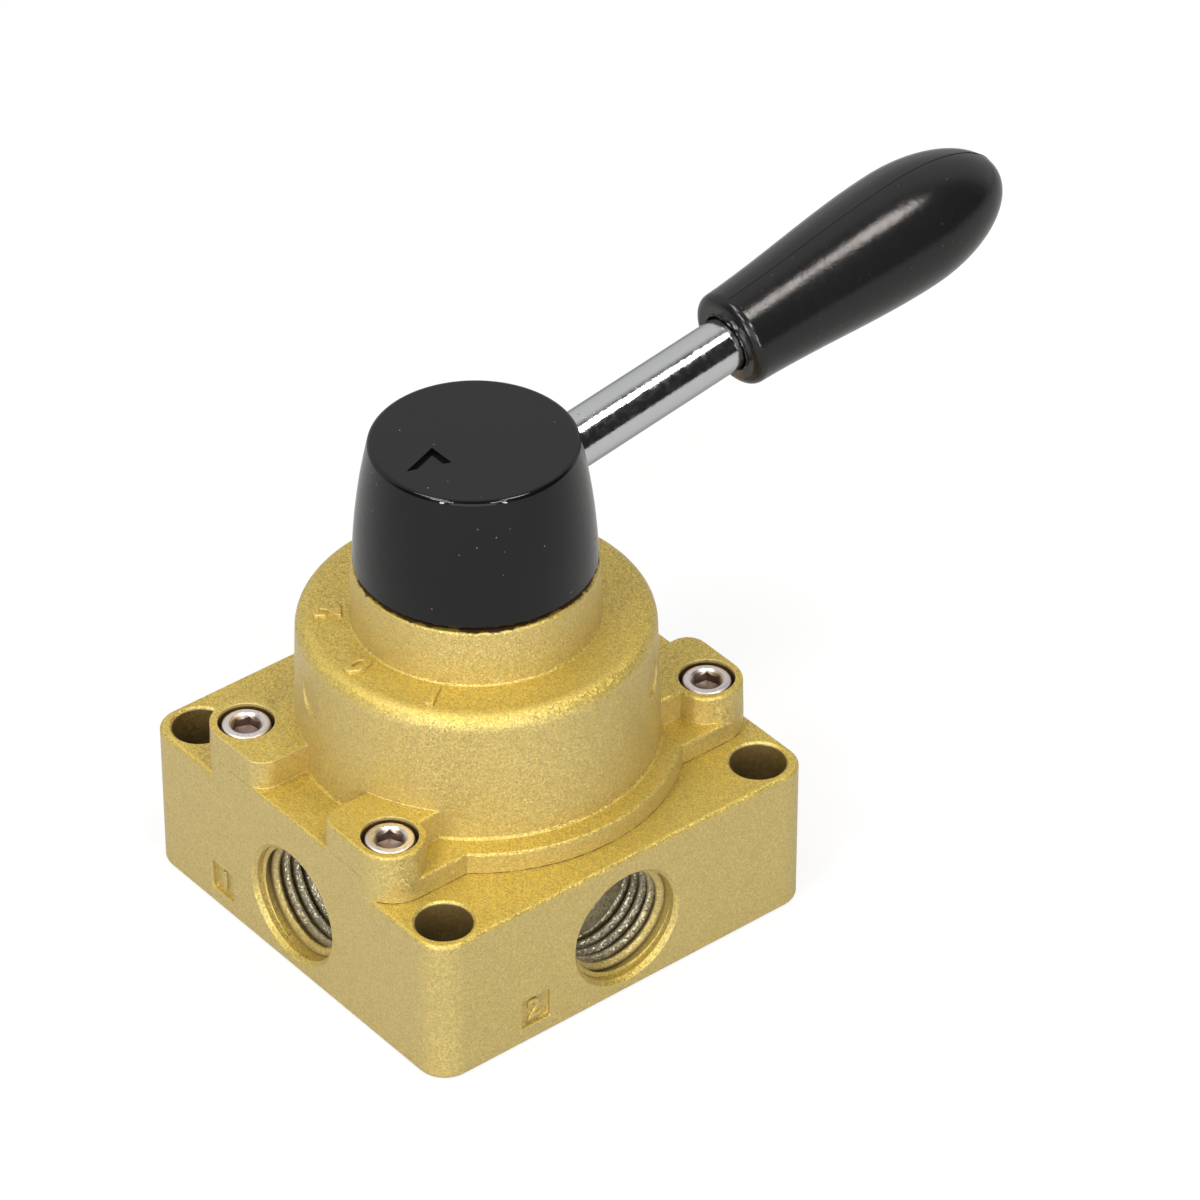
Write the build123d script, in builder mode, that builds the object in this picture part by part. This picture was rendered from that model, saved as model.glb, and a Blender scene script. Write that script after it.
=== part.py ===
from build123d import *
from math import cos, radians, sin
import os

# Hand lever air valve: a square cast body with a threaded port in each side and a turning
# disc on its flat top. A round cast cover holds the disc down, and a hub with an angled
# lever turns it to either side of neutral.
# Frame: +Z up, origin on the spindle axis at the middle of the mounting face. At neutral
# the lever leans out towards +X and the pointer on the hub looks towards -X.

# Fits
seat_clearance = 0.02
run_clearance = 0.03
loose_clearance = 0.3

# Body casting
body_width = 50.0
body_height = 17.7
body_corner_r = 3.3
body_edge_r = 0.5
mount_inset = 4.0
mount_hole_r = 3.0
mount_rim = 0.3

# Threaded ports, one in the middle of each side
port_height = 8.35
port_bore_r = 6.58
port_mouth_r = 7.05
port_depth = 10.0
gallery_r = 3.5
gallery_over = 0.6

# Shallow pocket for a moulded mark beside each port
mark_across = -12.25
mark_height = 3.9
mark_width = 3.8
mark_tall = 3.7
mark_corner_r = 0.4
mark_depth = 0.55

# Holes in the seat that the disc slides on
work_hole_r = 2.25
work_circle_r = 8.0
exhaust_hole_r = 2.5
supply_hole_r = 1.75

# Cover flange and its four screw lugs
flange_thickness = 2.5
flange_lip = 2.5
flange_margin = 0.35
flange_edge_r = 0.3
cast_r = 0.35
lug_r = 3.85
lug_height = 3.37
lug_gap = 10.0
lug_corner_r = 2.3
lug_web_step = 0.2
lug_edge_r = 0.35
screw_half_pitch_y = 12.3

# Cover drum and neck
drum_foot_r = 19.4
drum_top_r = 18.9
drum_height = 15.2
drum_wall = 2.8
drum_edge_r = 1.75
roof_thickness = 3.9
roof_corner_r = 1.5
neck_foot_r = 13.2
neck_rim_r = 12.95
neck_height = 6.5
neck_wall = 1.35
neck_edge_r = 0.25
cup_sink = 0.4
cast_mark_r = 2.0
cast_mark_depth = 0.25
cast_mark_height = 9.8
cast_mark_angles = (167.0, -54.0)

# Cover seal
groove_land = 0.8
groove_width = 1.8
groove_depth = 1.1
seal_side_gap = 0.05

# Cover screws, M3 socket heads
screw_shank_r = 1.45
screw_thread_r = 1.5
screw_hole_r = 1.7
screw_length = 8.0
screw_spare_depth = 1.5
screw_head_r = 2.75
screw_head_height = 3.0
screw_head_edge = 0.3
screw_recess_r = 3.05
screw_recess_sink = 0.27
screw_socket_across = 2.5
screw_socket_depth = 1.4

# Turning gear
lever_throw = 36.0
shaft_r = 5.0
shaft_top_cover = 3.2
shaft_flange_r = 7.4
shaft_flange_thickness = 1.6
shaft_chamfer = 0.4
bush_wall = 1.5
bush_length = 5.6
boss_wall = 2.5
washer_thickness = 0.8
hub_washer_wall = 1.5
hub_washer_thickness = 0.6
shaft_seal_height = 2.6
shaft_groove_depth = 1.1
shaft_groove_width = 1.5
tongue_width = 5.0
tongue_length = 10.0
tongue_sink = 2.4

# Disc and its spring
disc_r = 12.2
disc_thickness = 6.0
disc_chamfer = 0.3
disc_slot_spare = 0.2
exhaust_recess_depth = 1.8
seat_spring_r = 6.4
seat_spring_wire_r = 0.5
seat_spring_turns = 1.5

# Hub
hub_foot_gap = 0.7
hub_foot_r = 12.8
hub_middle_r = 12.2
hub_top_r = 10.9
hub_height = 14.35
hub_edge_r = 0.5
pointer_tip = 8.75
pointer_base = 4.15
pointer_half_width = 1.65
pointer_depth = 0.5

# Detent balls and stop pin
detent_circle_r = 8.6
ball_r = 1.5
ball_ride = 0.02
ball_drop = 0.3
detent_spring_length = 6.0
detent_spring_r = 1.15
detent_spring_wire_r = 0.2
detent_spring_turns = 4.0
stop_pin_r = 1.0
stop_pin_height = 2.0
stop_pin_sink = 2.5
stop_pin_edge = 0.2
stop_slack = 0.1

# Lever rod and grip, placed along the lever's own line from the spindle axis
lever_over_foot = 6.08
lever_rise = 9.5
rod_r = 3.0
stub_r = 2.5
stub_end = -4.5
rod_shoulder = 5.75
rod_chamfer = 0.4
grip_start = 34.2
grip_face_r = 5.38
grip_lip_r = 1.1
grip_belly = 58.6
grip_belly_r = 6.9
grip_end = 71.9
grip_slope = 0.014
grip_mouth_r = 3.2
grip_socket_depth = 2.9
insert_length = 12.0
insert_wall = 1.45

# Places worked out from the sizes above
half_width = body_width / 2
mount_half_pitch = half_width - mount_inset
screw_half_pitch_x = half_width - lug_r
cavity_r = drum_foot_r - drum_wall
flange_r = drum_foot_r + flange_lip
flange_half_length = screw_half_pitch_y + lug_r + flange_margin
deck_z = body_height + flange_thickness
lug_top_z = deck_z + lug_height
shoulder_z = deck_z + drum_height
cavity_top_z = shoulder_z - roof_thickness
rim_z = shoulder_z + neck_height
cup_floor_z = shoulder_z - cup_sink
cup_r = neck_rim_r - neck_wall
groove_inner_r = cavity_r + groove_land
supply_circle_r = (disc_r + cavity_r) / 2
screw_seat_z = lug_top_z - screw_recess_sink - screw_head_height
bush_r = shaft_r + run_clearance + bush_wall
boss_r = bush_r + boss_wall
boss_z = cup_floor_z - bush_length
washer_z = boss_z - washer_thickness
flange_top_z = washer_z - run_clearance
flange_bottom_z = flange_top_z - shaft_flange_thickness
disc_bottom_z = body_height + seat_clearance
disc_top_z = disc_bottom_z + disc_thickness
shaft_seal_z = boss_z + shaft_seal_height
hub_bottom_z = cup_floor_z + hub_washer_thickness + seat_clearance
hub_foot_z = rim_z + hub_foot_gap
hub_middle_z = hub_foot_z + hub_height / 2
hub_top_z = hub_foot_z + hub_height
lever_height = hub_foot_z + lever_over_foot
spigot_r = cup_r - loose_clearance
shaft_top_z = hub_top_z - shaft_top_cover
ball_z = cup_floor_z + ball_ride + ball_r
detent_bore_top_z = ball_z + ball_r + detent_spring_length
detent_bore_r = ball_r + run_clearance
insert_start = grip_start + grip_socket_depth
insert_r = stub_r + seat_clearance + insert_wall

# Planes and axes of the lever: one across its line, one along it
lever_direction = (cos(radians(lever_rise)), 0, sin(radians(lever_rise)))
lever_across = Plane(origin=(0, 0, lever_height), x_dir=(0, 1, 0), z_dir=lever_direction)
lever_along = Plane(origin=(0, 0, lever_height), x_dir=lever_direction, z_dir=(0, -1, 0))
lever_axis = Axis((0, 0, lever_height), lever_direction)
insert_across = lever_across.offset(insert_start)


def side_plane(angle, radius, height):
    """A plane that stands upright and looks outwards, at a turn about the spindle axis."""
    out = (cos(radians(angle)), sin(radians(angle)), 0)
    across = (-sin(radians(angle)), cos(radians(angle)), 0)
    return Plane(origin=(radius * out[0], radius * out[1], height), x_dir=across, z_dir=out)


def on_circle(radius, angle):
    """A point on a circle about the spindle axis."""
    return (radius * cos(radians(angle)), radius * sin(radians(angle)))


def screw_places():
    """The four places of the cover screws."""
    return GridLocations(2 * screw_half_pitch_x, 2 * screw_half_pitch_y, 2, 2)


def coil(radius, wire_r, low_z, high_z, turns, centre):
    """A coil spring whose wire lies between two heights."""
    rise = high_z - low_z - 2 * wire_r
    with BuildPart() as spring:
        with BuildLine():
            path = Helix(pitch=rise / turns, height=rise, radius=radius, center=(*centre, low_z + wire_r))
        with BuildSketch(Plane(origin=path @ 0, z_dir=path % 0)):
            Circle(wire_r)
        sweep(is_frenet=True)
    return spring


def save(builder, name):
    """Label a finished piece and write it."""
    builder.part.label = name
    export_step(builder.part, f"parts/{name}.step")


os.makedirs("parts", exist_ok=True)

# Valve body: square block with a sharp-edged land under the cover's flange, mounting holes,
# four ports with a mark's pocket beside each, seat holes and the seal's groove
with BuildPart() as valve_body:
    with BuildSketch():
        RectangleRounded(body_width, body_width, body_corner_r)
    extrude(amount=body_height)
    fillet(valve_body.faces().sort_by(Axis.Z)[-1].edges(), body_edge_r)
    fillet(valve_body.faces().sort_by(Axis.Z)[0].edges(), body_edge_r)
    with BuildSketch(Plane.XY.offset(body_height - body_edge_r)):
        RectangleRounded(body_width, 2 * flange_half_length, lug_r + flange_margin)
    extrude(amount=body_edge_r)
    for angle in (0, 90, 180, 270):
        with BuildSketch(side_plane(angle, half_width, mark_height)):
            with Locations((mark_across, 0)):
                RectangleRounded(mark_width, mark_tall, mark_corner_r)
        extrude(amount=-mark_depth, mode=Mode.SUBTRACT)
    with GridLocations(2 * mount_half_pitch, 2 * mount_half_pitch, 2, 2):
        Hole(mount_hole_r)
    mount_rims = valve_body.faces().sort_by(Axis.Z)[-1].edges().filter_by(GeomType.CIRCLE)
    chamfer(mount_rims.filter_by(lambda e: abs(e.radius - mount_hole_r) < 0.01), mount_rim)
    gallery_ends = {
        0: -exhaust_hole_r,
        90: work_circle_r - work_hole_r,
        180: supply_circle_r - supply_hole_r,
        270: work_circle_r - work_hole_r,
    }
    for angle, gallery_end in gallery_ends.items():
        with Locations(side_plane(angle, half_width, port_height)):
            CounterSinkHole(port_bore_r, port_mouth_r, port_depth, 90)
            Hole(gallery_r, half_width - gallery_end + gallery_over)
    with Locations((0, 0, body_height)):
        Hole(exhaust_hole_r, body_height - port_height)
    with Locations((0, work_circle_r, body_height), (0, -work_circle_r, body_height)):
        Hole(work_hole_r, body_height - port_height)
    with Locations((-supply_circle_r, 0, body_height)):
        Hole(supply_hole_r, body_height - port_height)
    with BuildSketch(Plane.XY.offset(body_height)):
        Circle(groove_inner_r + groove_width)
        Circle(groove_inner_r, mode=Mode.SUBTRACT)
    extrude(amount=-groove_depth, mode=Mode.SUBTRACT)
    with Locations((0, 0, body_height)):
        with screw_places():
            Hole(screw_thread_r, body_height - (screw_seat_z - screw_length) + screw_spare_depth)
save(valve_body, "valve_body")

# Cover: flange with screw lugs, drum, and the neck that the hub turns in
with BuildPart() as cover:
    with BuildSketch(Plane.XY.offset(body_height)):
        Circle(flange_r)
        RectangleRounded(body_width, 2 * flange_half_length, lug_r + flange_margin)
    extrude(amount=flange_thickness)
    fillet(cover.faces().sort_by(Axis.Z)[-1].edges(), flange_edge_r)
    with BuildSketch(Plane.XY.offset(deck_z)) as lugs:
        with screw_places():
            Circle(lug_r)
        for x_side in (-1, 1):
            for y_side in (-1, 1):
                pad_width = screw_half_pitch_y - lug_gap / 2
                pad_middle = (screw_half_pitch_y + lug_gap / 2) / 2
                with Locations((x_side * half_width / 2, y_side * pad_middle)):
                    Rectangle(half_width, pad_width)
                with Locations((x_side * screw_half_pitch_x / 2, y_side * (pad_middle + lug_web_step / 2))):
                    Rectangle(screw_half_pitch_x, pad_width + lug_web_step)
        pad_corners = lugs.vertices().filter_by(
            lambda v: abs(abs(v.X) - half_width) < 0.01 and abs(abs(v.Y) - lug_gap / 2) < 0.01
        )
        fillet(pad_corners, lug_corner_r)
    extrude(amount=lug_height)
    fillet(cover.faces().sort_by(Axis.Z)[-1].edges(), lug_edge_r)
    with BuildSketch(Plane.XZ) as outside:
        with BuildLine():
            Polyline(
                (0, body_height),
                (drum_foot_r + 2 * cast_r, body_height),
                (drum_foot_r + 2 * cast_r, deck_z),
                (drum_foot_r, deck_z),
                (drum_top_r, shoulder_z),
                (neck_foot_r, shoulder_z),
                (neck_rim_r, rim_z),
                (0, rim_z),
                close=True,
            )
        make_face()
        fillet(outside.vertices().sort_by_distance((drum_foot_r, deck_z))[0], cast_r)
    revolve(axis=Axis.Z)
    level_faces = cover.faces().filter_by(Axis.Z)
    shoulder_edges = level_faces.filter_by(lambda f: abs(f.center().Z - shoulder_z) < 0.01).edges()
    fillet(shoulder_edges.filter_by(lambda e: abs(e.radius - drum_top_r) < 0.01), drum_edge_r)
    fillet(shoulder_edges.filter_by(lambda e: abs(e.radius - neck_foot_r) < 0.01), neck_edge_r)
    with BuildSketch(Plane.XZ):
        with BuildLine():
            Polyline(
                (0, body_height),
                (cavity_r, body_height),
                (cavity_r, cavity_top_z),
                (boss_r, cavity_top_z),
                (boss_r, boss_z),
                (0, boss_z),
                close=True,
            )
        cavity = make_face()
        fillet(cavity.vertices().sort_by(Axis.X)[-2:].sort_by(Axis.Y)[-1], roof_corner_r)
    revolve(axis=Axis.Z, mode=Mode.SUBTRACT)
    with BuildSketch(Plane.XY.offset(cup_floor_z)):
        Circle(cup_r)
    extrude(amount=neck_height + cup_sink, mode=Mode.SUBTRACT)
    with Locations((0, 0, cup_floor_z)):
        Hole(bush_r, bush_length)
    with Locations((detent_circle_r, 0, cup_floor_z)):
        Hole(stop_pin_r, stop_pin_sink)
    for centre_angle in (90, 270):
        for turn in (-lever_throw, 0, lever_throw):
            dimple = on_circle(detent_circle_r, centre_angle + turn)
            with Locations((*dimple, ball_z - ball_drop)):
                Sphere(detent_bore_r, mode=Mode.SUBTRACT)
    with Locations((0, 0, lug_top_z)):
        with screw_places():
            CounterBoreHole(screw_hole_r, screw_recess_r, lug_top_z - screw_seat_z)
    fillet(cover.faces().sort_by(Axis.Z)[-1].edges(), neck_edge_r)
    for angle in cast_mark_angles:
        with BuildSketch(side_plane(angle, drum_foot_r, deck_z + cast_mark_height)):
            Circle(cast_mark_r)
        mark_sink = (drum_foot_r - drum_top_r) * cast_mark_height / drum_height + cast_mark_depth
        extrude(amount=-mark_sink, mode=Mode.SUBTRACT)
save(cover, "cover")

# Seal ring between body and cover, pressed to an oval section in its groove
with BuildPart() as cover_seal:
    with BuildSketch(Plane.XZ):
        with Locations((groove_inner_r + groove_width / 2, body_height - groove_depth / 2)):
            Ellipse(groove_width / 2 - seal_side_gap, groove_depth / 2 - seat_clearance)
    revolve(axis=Axis.Z)
save(cover_seal, "cover_seal")

# Four socket head screws in one node
with BuildPart() as cover_screws:
    with BuildSketch(Plane.XY.offset(screw_seat_z)):
        with screw_places():
            Circle(screw_head_r)
    extrude(amount=screw_head_height)
    chamfer(cover_screws.edges().group_by(Axis.Z)[-1], screw_head_edge)
    with BuildSketch(Plane.XY.offset(screw_seat_z + screw_head_height)):
        with screw_places():
            RegularPolygon(screw_socket_across / 2, 6, major_radius=False)
    extrude(amount=-screw_socket_depth, mode=Mode.SUBTRACT)
    with BuildSketch(Plane.XY.offset(screw_seat_z)):
        with screw_places():
            Circle(screw_shank_r)
    extrude(amount=-screw_length)
    chamfer(cover_screws.edges().group_by(Axis.Z)[0], screw_head_edge)
save(cover_screws, "cover_screws")

# Bush pressed into the cover, which the shaft turns in
with BuildPart() as shaft_bush:
    with BuildSketch(Plane.XY.offset(boss_z)):
        Circle(bush_r - seat_clearance)
        Circle(shaft_r + run_clearance, mode=Mode.SUBTRACT)
    extrude(amount=bush_length)
save(shaft_bush, "shaft_bush")

# Thrust washer between the shaft's flange and the cover's boss
with BuildPart() as thrust_washer:
    with BuildSketch(Plane.XY.offset(washer_z)):
        Circle(shaft_flange_r)
        Circle(shaft_r + run_clearance, mode=Mode.SUBTRACT)
    extrude(amount=washer_thickness)
save(thrust_washer, "thrust_washer")

# Washer that the hub stands on
with BuildPart() as hub_washer:
    with BuildSketch(Plane.XY.offset(cup_floor_z)):
        Circle(shaft_r + run_clearance + hub_washer_wall)
        Circle(shaft_r + run_clearance, mode=Mode.SUBTRACT)
    extrude(amount=hub_washer_thickness)
save(hub_washer, "hub_washer")

# Stop pin, pressed into the floor of the cup
with BuildPart() as stop_pin:
    with BuildSketch(Plane.XY.offset(cup_floor_z - stop_pin_sink)):
        with Locations((detent_circle_r, 0)):
            Circle(stop_pin_r - seat_clearance)
    extrude(amount=stop_pin_sink + stop_pin_height)
    chamfer(stop_pin.edges().group_by(Axis.Z)[-1], stop_pin_edge)
save(stop_pin, "stop_pin")

# Disc that covers and opens the seat holes: a through hole leads supply air to one work
# port while a recess underneath joins the other one to the exhaust in the middle
with BuildPart() as rotor_disc:
    with BuildSketch(Plane.XY.offset(disc_bottom_z)):
        Circle(disc_r)
    extrude(amount=disc_thickness)
    chamfer(rotor_disc.edges().group_by(Axis.Z)[-1], disc_chamfer)
    with BuildSketch(Plane.XY.offset(disc_top_z)):
        Rectangle(tongue_length + 2 * run_clearance, tongue_width + 2 * run_clearance)
    extrude(amount=-(tongue_sink + disc_slot_spare), mode=Mode.SUBTRACT)
    feeds = [on_circle(work_circle_r, side * (90 - lever_throw)) for side in (-1, 1)]
    with Locations(*[(*feed, disc_top_z) for feed in feeds]):
        Hole(work_hole_r)
    with BuildSketch(Plane.XY.offset(disc_bottom_z)):
        Circle(exhaust_hole_r)
        for side in (-1, 1):
            arm_angle = side * (90 + lever_throw)
            with Locations(Location((*on_circle(work_circle_r / 2, arm_angle), 0), (0, 0, arm_angle))):
                SlotCenterToCenter(work_circle_r, 2 * work_hole_r)
    extrude(amount=exhaust_recess_depth, mode=Mode.SUBTRACT)
save(rotor_disc, "rotor_disc")

# Spring that keeps the disc on its seat
seat_spring = coil(
    seat_spring_r,
    seat_spring_wire_r,
    disc_top_z + seat_clearance,
    flange_bottom_z - seat_clearance,
    seat_spring_turns,
    (0, 0),
)
save(seat_spring, "seat_spring")

# Shaft: tongue in the disc, flange under the washer, and a cross hole for the lever's stub
with BuildPart() as shaft:
    with BuildSketch(Plane.XY.offset(disc_top_z - tongue_sink)):
        Rectangle(tongue_length, tongue_width)
    extrude(amount=flange_bottom_z - disc_top_z + tongue_sink)
    with BuildSketch(Plane.XZ):
        with BuildLine():
            Polyline(
                (0, flange_bottom_z),
                (shaft_flange_r, flange_bottom_z),
                (shaft_flange_r, flange_top_z),
                (shaft_r, flange_top_z),
                (shaft_r, shaft_seal_z),
                (shaft_r - shaft_groove_depth, shaft_seal_z),
                (shaft_r - shaft_groove_depth, shaft_seal_z + shaft_groove_width),
                (shaft_r, shaft_seal_z + shaft_groove_width),
                (shaft_r, shaft_top_z - shaft_chamfer),
                (shaft_r - shaft_chamfer, shaft_top_z),
                (0, shaft_top_z),
                close=True,
            )
        make_face()
    revolve(axis=Axis.Z)
    with BuildSketch(lever_across):
        Circle(stub_r + seat_clearance)
    extrude(amount=2 * shaft_r, both=True, mode=Mode.SUBTRACT)
save(shaft, "shaft")

# Seal ring in the shaft's groove
with BuildPart() as shaft_seal:
    with BuildSketch(Plane.XZ):
        with Locations((shaft_r - shaft_groove_depth / 2, shaft_seal_z + shaft_groove_width / 2)):
            Ellipse(shaft_groove_depth / 2 - seat_clearance, shaft_groove_width / 2 - seal_side_gap)
    revolve(axis=Axis.Z)
save(shaft_seal, "shaft_seal")

# Hub: rounded knob with a spigot in the cover's cup, bores for the shaft, the lever and the
# detent balls, a slot for the stop pin and a sunk pointer on top
with BuildPart() as hub:
    with BuildSketch(Plane.XZ):
        with BuildLine():
            side_line = ThreePointArc(
                (hub_foot_r, hub_foot_z), (hub_middle_r, hub_middle_z), (hub_top_r, hub_top_z)
            )
            Polyline(
                side_line @ 1,
                (0, hub_top_z),
                (0, hub_bottom_z),
                (spigot_r, hub_bottom_z),
                (spigot_r, hub_foot_z),
                side_line @ 0,
            )
        make_face()
    revolve(axis=Axis.Z)
    fillet(hub.edges().group_by(Axis.Z)[-1], hub_edge_r)
    with BuildSketch(Plane.XY.offset(hub_bottom_z)):
        Circle(shaft_r + seat_clearance)
    extrude(amount=shaft_top_z + seat_clearance - hub_bottom_z, mode=Mode.SUBTRACT)
    with BuildSketch(Plane.XY.offset(hub_bottom_z)):
        with Locations((0, detent_circle_r), (0, -detent_circle_r)):
            Circle(detent_bore_r)
    extrude(amount=detent_bore_top_z - hub_bottom_z, mode=Mode.SUBTRACT)
    with BuildSketch(Plane.XY.offset(hub_bottom_z)):
        stop_path = CenterArc((0, 0), detent_circle_r, -lever_throw, 2 * lever_throw, mode=Mode.PRIVATE)
        SlotArc(stop_path, 2 * (stop_pin_r + stop_slack))
    extrude(amount=stop_pin_height, mode=Mode.SUBTRACT)
    with BuildSketch(lever_across):
        Circle(rod_r + seat_clearance)
    extrude(amount=2 * hub_foot_r, mode=Mode.SUBTRACT)
    with BuildSketch(Plane.XY.offset(hub_top_z)):
        Polygon(
            (-pointer_tip, 0),
            (-pointer_base, -pointer_half_width),
            (-pointer_base, pointer_half_width),
            align=None,
        )
    extrude(amount=-pointer_depth, mode=Mode.SUBTRACT)
save(hub, "hub")

# Detent balls and their springs, one pair on each side of the hub
for side, place in (("left", (0, detent_circle_r)), ("right", (0, -detent_circle_r))):
    with BuildPart() as detent_ball:
        with Locations((*place, ball_z)):
            Sphere(ball_r)
    save(detent_ball, f"detent_ball_{side}")
    detent_spring = coil(
        detent_spring_r,
        detent_spring_wire_r,
        ball_z + ball_r + seat_clearance,
        detent_bore_top_z - seat_clearance,
        detent_spring_turns,
        place,
    )
    save(detent_spring, f"detent_spring_{side}")

# Lever rod: a thick middle between two threaded stubs, one in the shaft and one in the grip
rod_end = insert_start + insert_length
with BuildPart() as lever_rod:
    with BuildSketch(lever_along):
        with BuildLine():
            Polyline(
                (stub_end, 0),
                (stub_end, stub_r - rod_chamfer),
                (stub_end + rod_chamfer, stub_r),
                (rod_shoulder, stub_r),
                (rod_shoulder, rod_r - rod_chamfer),
                (rod_shoulder + rod_chamfer, rod_r),
                (insert_start - rod_chamfer, rod_r),
                (insert_start, rod_r - rod_chamfer),
                (insert_start, stub_r),
                (rod_end - rod_chamfer, stub_r),
                (rod_end, stub_r - rod_chamfer),
                (rod_end, 0),
                close=True,
            )
        make_face()
    revolve(axis=lever_axis)
save(lever_rod, "lever_rod")

# Threaded insert moulded into the grip
with BuildPart() as grip_insert:
    with BuildSketch(insert_across):
        Circle(insert_r)
        Circle(stub_r + seat_clearance, mode=Mode.SUBTRACT)
    extrude(amount=insert_length)
save(grip_insert, "grip_insert")

# Grip: tapered handle with a flat face, a full belly and a round end
with BuildPart() as grip:
    with BuildSketch(lever_along):
        third = (grip_belly - grip_start) / 3
        with BuildLine():
            Bezier(
                (grip_start, grip_face_r),
                (grip_start + third, grip_face_r + third * grip_slope),
                (grip_belly - third, grip_belly_r),
                (grip_belly, grip_belly_r),
            )
            EllipticalCenterArc((grip_belly, 0), grip_end - grip_belly, grip_belly_r, 0, arc_size=90)
            Polyline((grip_end, 0), (grip_start, 0), (grip_start, grip_face_r))
        make_face()
    revolve(axis=lever_axis)
    fillet(grip.edges().sort_by(lever_axis)[0], grip_lip_r)
    with BuildSketch(lever_across):
        Circle(grip_mouth_r)
    extrude(amount=insert_start, mode=Mode.SUBTRACT)
    with BuildSketch(insert_across):
        Circle(insert_r + seat_clearance)
    extrude(amount=insert_length + seat_clearance, mode=Mode.SUBTRACT)
save(grip, "grip")
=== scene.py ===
"""Looks of a hand lever air valve: a gold painted casting with threaded ports, a black hub,
a chrome rod and a glossy black grip, on a white table."""

from math import cos, pi, radians, sin, sqrt

import bmesh
import bpy
from mathutils import Matrix, Vector


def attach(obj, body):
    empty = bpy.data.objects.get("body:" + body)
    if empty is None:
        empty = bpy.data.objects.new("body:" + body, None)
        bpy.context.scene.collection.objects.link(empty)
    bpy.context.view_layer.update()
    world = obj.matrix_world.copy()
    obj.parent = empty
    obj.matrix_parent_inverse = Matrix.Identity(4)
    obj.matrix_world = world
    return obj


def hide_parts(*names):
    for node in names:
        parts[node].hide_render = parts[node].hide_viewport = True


MM = 0.001

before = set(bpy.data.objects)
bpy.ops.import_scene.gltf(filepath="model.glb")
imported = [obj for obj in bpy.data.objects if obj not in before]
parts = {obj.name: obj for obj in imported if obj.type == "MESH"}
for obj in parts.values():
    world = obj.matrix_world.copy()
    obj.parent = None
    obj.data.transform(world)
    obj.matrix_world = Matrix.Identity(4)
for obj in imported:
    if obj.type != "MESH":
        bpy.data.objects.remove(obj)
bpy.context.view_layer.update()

# Sizes of the valve that the looks need, in millimetres, as the model has them
BODY_HALF = 25.0
BODY_TOP = 17.7
HOLE_HALF_PITCH, HOLE_R = 21.0, 3.0
PORT_FLOOR = 15.47
PORT_HEIGHT = 8.35
PORT_WALL_R = 6.58
THREAD_DEPTH = 0.86
THREAD_PITCH = 1.337
THREAD_LEAD_IN = 1.0
THREAD_ROUNDING = 0.16
THREAD_TURNS = 5.6
MARK_ACROSS = -12.25
MARK_HEIGHT = 3.9
MARK_DEPTH = 0.55
SHOULDER_Z = 35.4
NECK_RIM_R = 12.95
NECK_RIM_Z = 41.9
SCREW_X, SCREW_Y, SCREW_SEAT_Z, SCREW_HEAD = 21.15, 12.3, 20.3, 3.0
LUG_R, LUG_TOP, LUG_EDGE_R = 3.85, 23.57, 0.35
FLANGE_MARGIN, FLANGE_SIDE_TOP = 0.35, 19.9
LEVER_Z = 48.68
LEVER_RISE = 9.5
GRIP_START, GRIP_BELLY, GRIP_END = 34.2, 58.6, 71.9
GRIP_FACE_R, GRIP_BELLY_R, GRIP_SLOPE, GRIP_LIP_R = 5.38, 6.9, 0.014, 1.1
MOUTH_R = 3.2

LEVER_FOOT = Vector((0, 0, LEVER_Z))
LEVER_ALONG = Vector((cos(radians(LEVER_RISE)), 0, sin(radians(LEVER_RISE))))
LEVER_UP = Vector((-sin(radians(LEVER_RISE)), 0, cos(radians(LEVER_RISE))))


# Node helpers

def give(tree, socket, value):
    """Link an input to the socket that is given, or set it to the value."""
    if isinstance(value, bpy.types.NodeSocket):
        tree.links.new(value, socket)
    else:
        socket.default_value = value


def put(tree, kind, inputs=None, **settings):
    """Add a node with its settings and inputs."""
    node = tree.nodes.new(kind)
    for name, value in settings.items():
        setattr(node, name, value)
    for name, value in (inputs or {}).items():
        give(tree, node.inputs[name], value)
    return node


def maths(tree, operation, first, second=0.0, third=0.0, clamp=False):
    """The result of a Math node."""
    inputs = {0: first, 1: second, 2: third}
    return put(tree, "ShaderNodeMath", inputs, operation=operation, use_clamp=clamp).outputs[0]


def vectors(tree, operation, first, second=(0.0, 0.0, 0.0)):
    """The vector result of a Vector Math node."""
    return put(tree, "ShaderNodeVectorMath", {0: first, 1: second}, operation=operation).outputs[0]


def distance(tree, *offsets):
    """The length of a step whose parts along each direction are given."""
    squares = [maths(tree, "POWER", offset, 2.0) for offset in offsets]
    total = squares[0]
    for square in squares[1:]:
        total = maths(tree, "ADD", total, square)
    return maths(tree, "SQRT", total)


def ramp(tree, value, low, high, start=0.0, end=1.0):
    """A value that goes smoothly from start to end as the input goes from low to high."""
    inputs = {"Value": value, "From Min": low, "From Max": high, "To Min": start, "To Max": end}
    node = put(tree, "ShaderNodeMapRange", inputs, interpolation_type="SMOOTHSTEP")
    return node.outputs["Result"]


def noise(tree, place, scale, detail=2.0):
    """Noise between 0 and 1."""
    inputs = {"Vector": place, "Scale": scale, "Detail": detail}
    return put(tree, "ShaderNodeTexNoise", inputs).outputs["Fac"]


def blend_colours(tree, share, first, second, mode="MIX"):
    """Two colours mixed by a share."""
    node = put(tree, "ShaderNodeMix", data_type="RGBA", blend_type=mode)
    for index, value in ((0, share), (6, first), (7, second)):
        give(tree, node.inputs[index], value)
    return node.outputs[2]


def dimmed(tree, colour, factor):
    """A colour multiplied by a value."""
    grey = put(tree, "ShaderNodeCombineColor", {0: factor, 1: factor, 2: factor}).outputs[0]
    return blend_colours(tree, 1.0, colour, grey, "MULTIPLY")


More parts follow.
